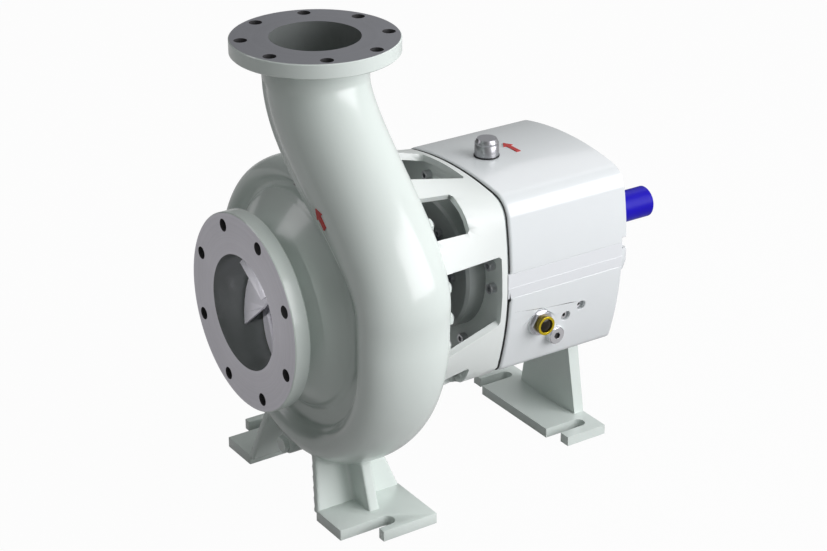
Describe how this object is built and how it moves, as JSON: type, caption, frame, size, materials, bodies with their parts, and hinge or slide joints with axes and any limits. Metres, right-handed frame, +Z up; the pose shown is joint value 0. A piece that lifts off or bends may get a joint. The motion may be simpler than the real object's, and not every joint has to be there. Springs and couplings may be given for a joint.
{
  "type": "end-suction process pump",
  "caption": "Horizontal end-suction process pump with volute casing, flanged suction and top discharge, open lantern, oil-lubricated bearing frame and bare shaft end.",
  "frame": {"origin": "centre of the suction flange face", "axes": "+X along the shaft to the drive end, +Z up along the discharge, -Y towards the side with the sight glass"},
  "size_m": [0.858, 0.5795, 0.821],
  "materials": {
    "casting_paint": "gloss",
    "frame_paint": "gloss",
    "cover_paint": "satin",
    "strip_paint": "gloss",
    "arrow_paint": "gloss",
    "painted_steel": "gloss",
    "shaft_coating": "satin",
    "cast_iron": "satin",
    "impeller_iron": "satin",
    "steel": "satin",
    "dark_steel": "satin",
    "bright_steel": "gloss",
    "brass": "satin",
    "rubber": "matte",
    "gasket": "matte",
    "glass": "gloss"
  },
  "bodies": {
    "casing": {"volute_casing": "casting_paint", "front_wear_plate": "cast_iron", "casing_cover": "cast_iron", "casing_gasket": "gasket", "casing_studs": "steel", "casing_nuts": "painted_steel", "seal_seat": "rubber", "seal_gland": "steel", "gland_studs": "steel", "gland_nuts": "steel", "lantern": "casting_paint", "lantern_screws": "dark_steel", "front_bearing_cover": "cover_paint", "front_cover_screws": "dark_steel", "front_lip_seal": "rubber", "bearing_frame": "frame_paint", "frame_hood": "frame_paint", "hood_screws": "dark_steel", "side_strip_near": "strip_paint", "side_strip_far": "strip_paint", "roller_bearing_outer": "steel", "bearing_spacer": "steel", "ball_bearing_outer_a": "steel", "ball_bearing_outer_b": "steel", "rear_bearing_cover": "frame_paint", "rear_cover_screws": "dark_steel", "rear_lip_seal": "rubber", "rear_foot": "casting_paint", "rear_foot_screws": "dark_steel", "filler_seat": "rubber", "sight_glass_nut": "bright_steel", "sight_glass_bezel": "brass", "sight_glass_lens": "glass", "oil_drain_plug": "bright_steel", "frame_plugs": "bright_steel", "casing_drain_plug": "dark_steel", "roof_arrow": "arrow_paint", "volute_arrow": "arrow_paint"},
    "rotor": {"shaft": "shaft_coating", "impeller": "impeller_iron", "impeller_key": "steel", "impeller_nut": "steel", "shaft_sleeve": "steel", "seal_rotor": "dark_steel", "slinger": "rubber", "roller_bearing_inner": "steel", "ball_bearing_inner_a": "steel", "ball_bearing_inner_b": "steel", "lock_washer": "steel", "lock_nut": "dark_steel"},
    "front_rolling_set": {"roller_bearing_cage": "brass", "bearing_rollers": "steel"},
    "rear_rolling_set_a": {"ball_bearing_cage_a": "brass"},
    "rear_rolling_set_b": {"ball_bearing_cage_b": "brass"},
    "filler": {"filler_cap": "bright_steel"}
  },
  "joints": [
    {"name": "shaft_spin", "type": "hinge", "parent": "casing", "child": "rotor", "pos_m": [0.43, 0, 0], "axis": [1, 0, 0], "continuous": true},
    {"name": "front_cage_spin", "type": "hinge", "parent": "casing", "child": "front_rolling_set", "pos_m": [0.4485, 0, 0], "axis": [1, 0, 0], "continuous": true},
    {"name": "rear_cage_a_spin", "type": "hinge", "parent": "casing", "child": "rear_rolling_set_a", "pos_m": [0.6135, 0, 0], "axis": [1, 0, 0], "continuous": true},
    {"name": "rear_cage_b_spin", "type": "hinge", "parent": "casing", "child": "rear_rolling_set_b", "pos_m": [0.6465, 0, 0], "axis": [1, 0, 0], "continuous": true},
    {"name": "filler_cap_lift", "type": "slide", "parent": "casing", "child": "filler", "axis": [0, 0, 1], "range_m": [0, 0.045]}
  ],
  "couplings": [
    {"joint": "front_cage_spin", "follows": "shaft_spin", "ratio": 0.4126},
    {"joint": "rear_cage_a_spin", "follows": "shaft_spin", "ratio": 0.3932},
    {"joint": "rear_cage_b_spin", "follows": "shaft_spin", "ratio": 0.3932}
  ]
}
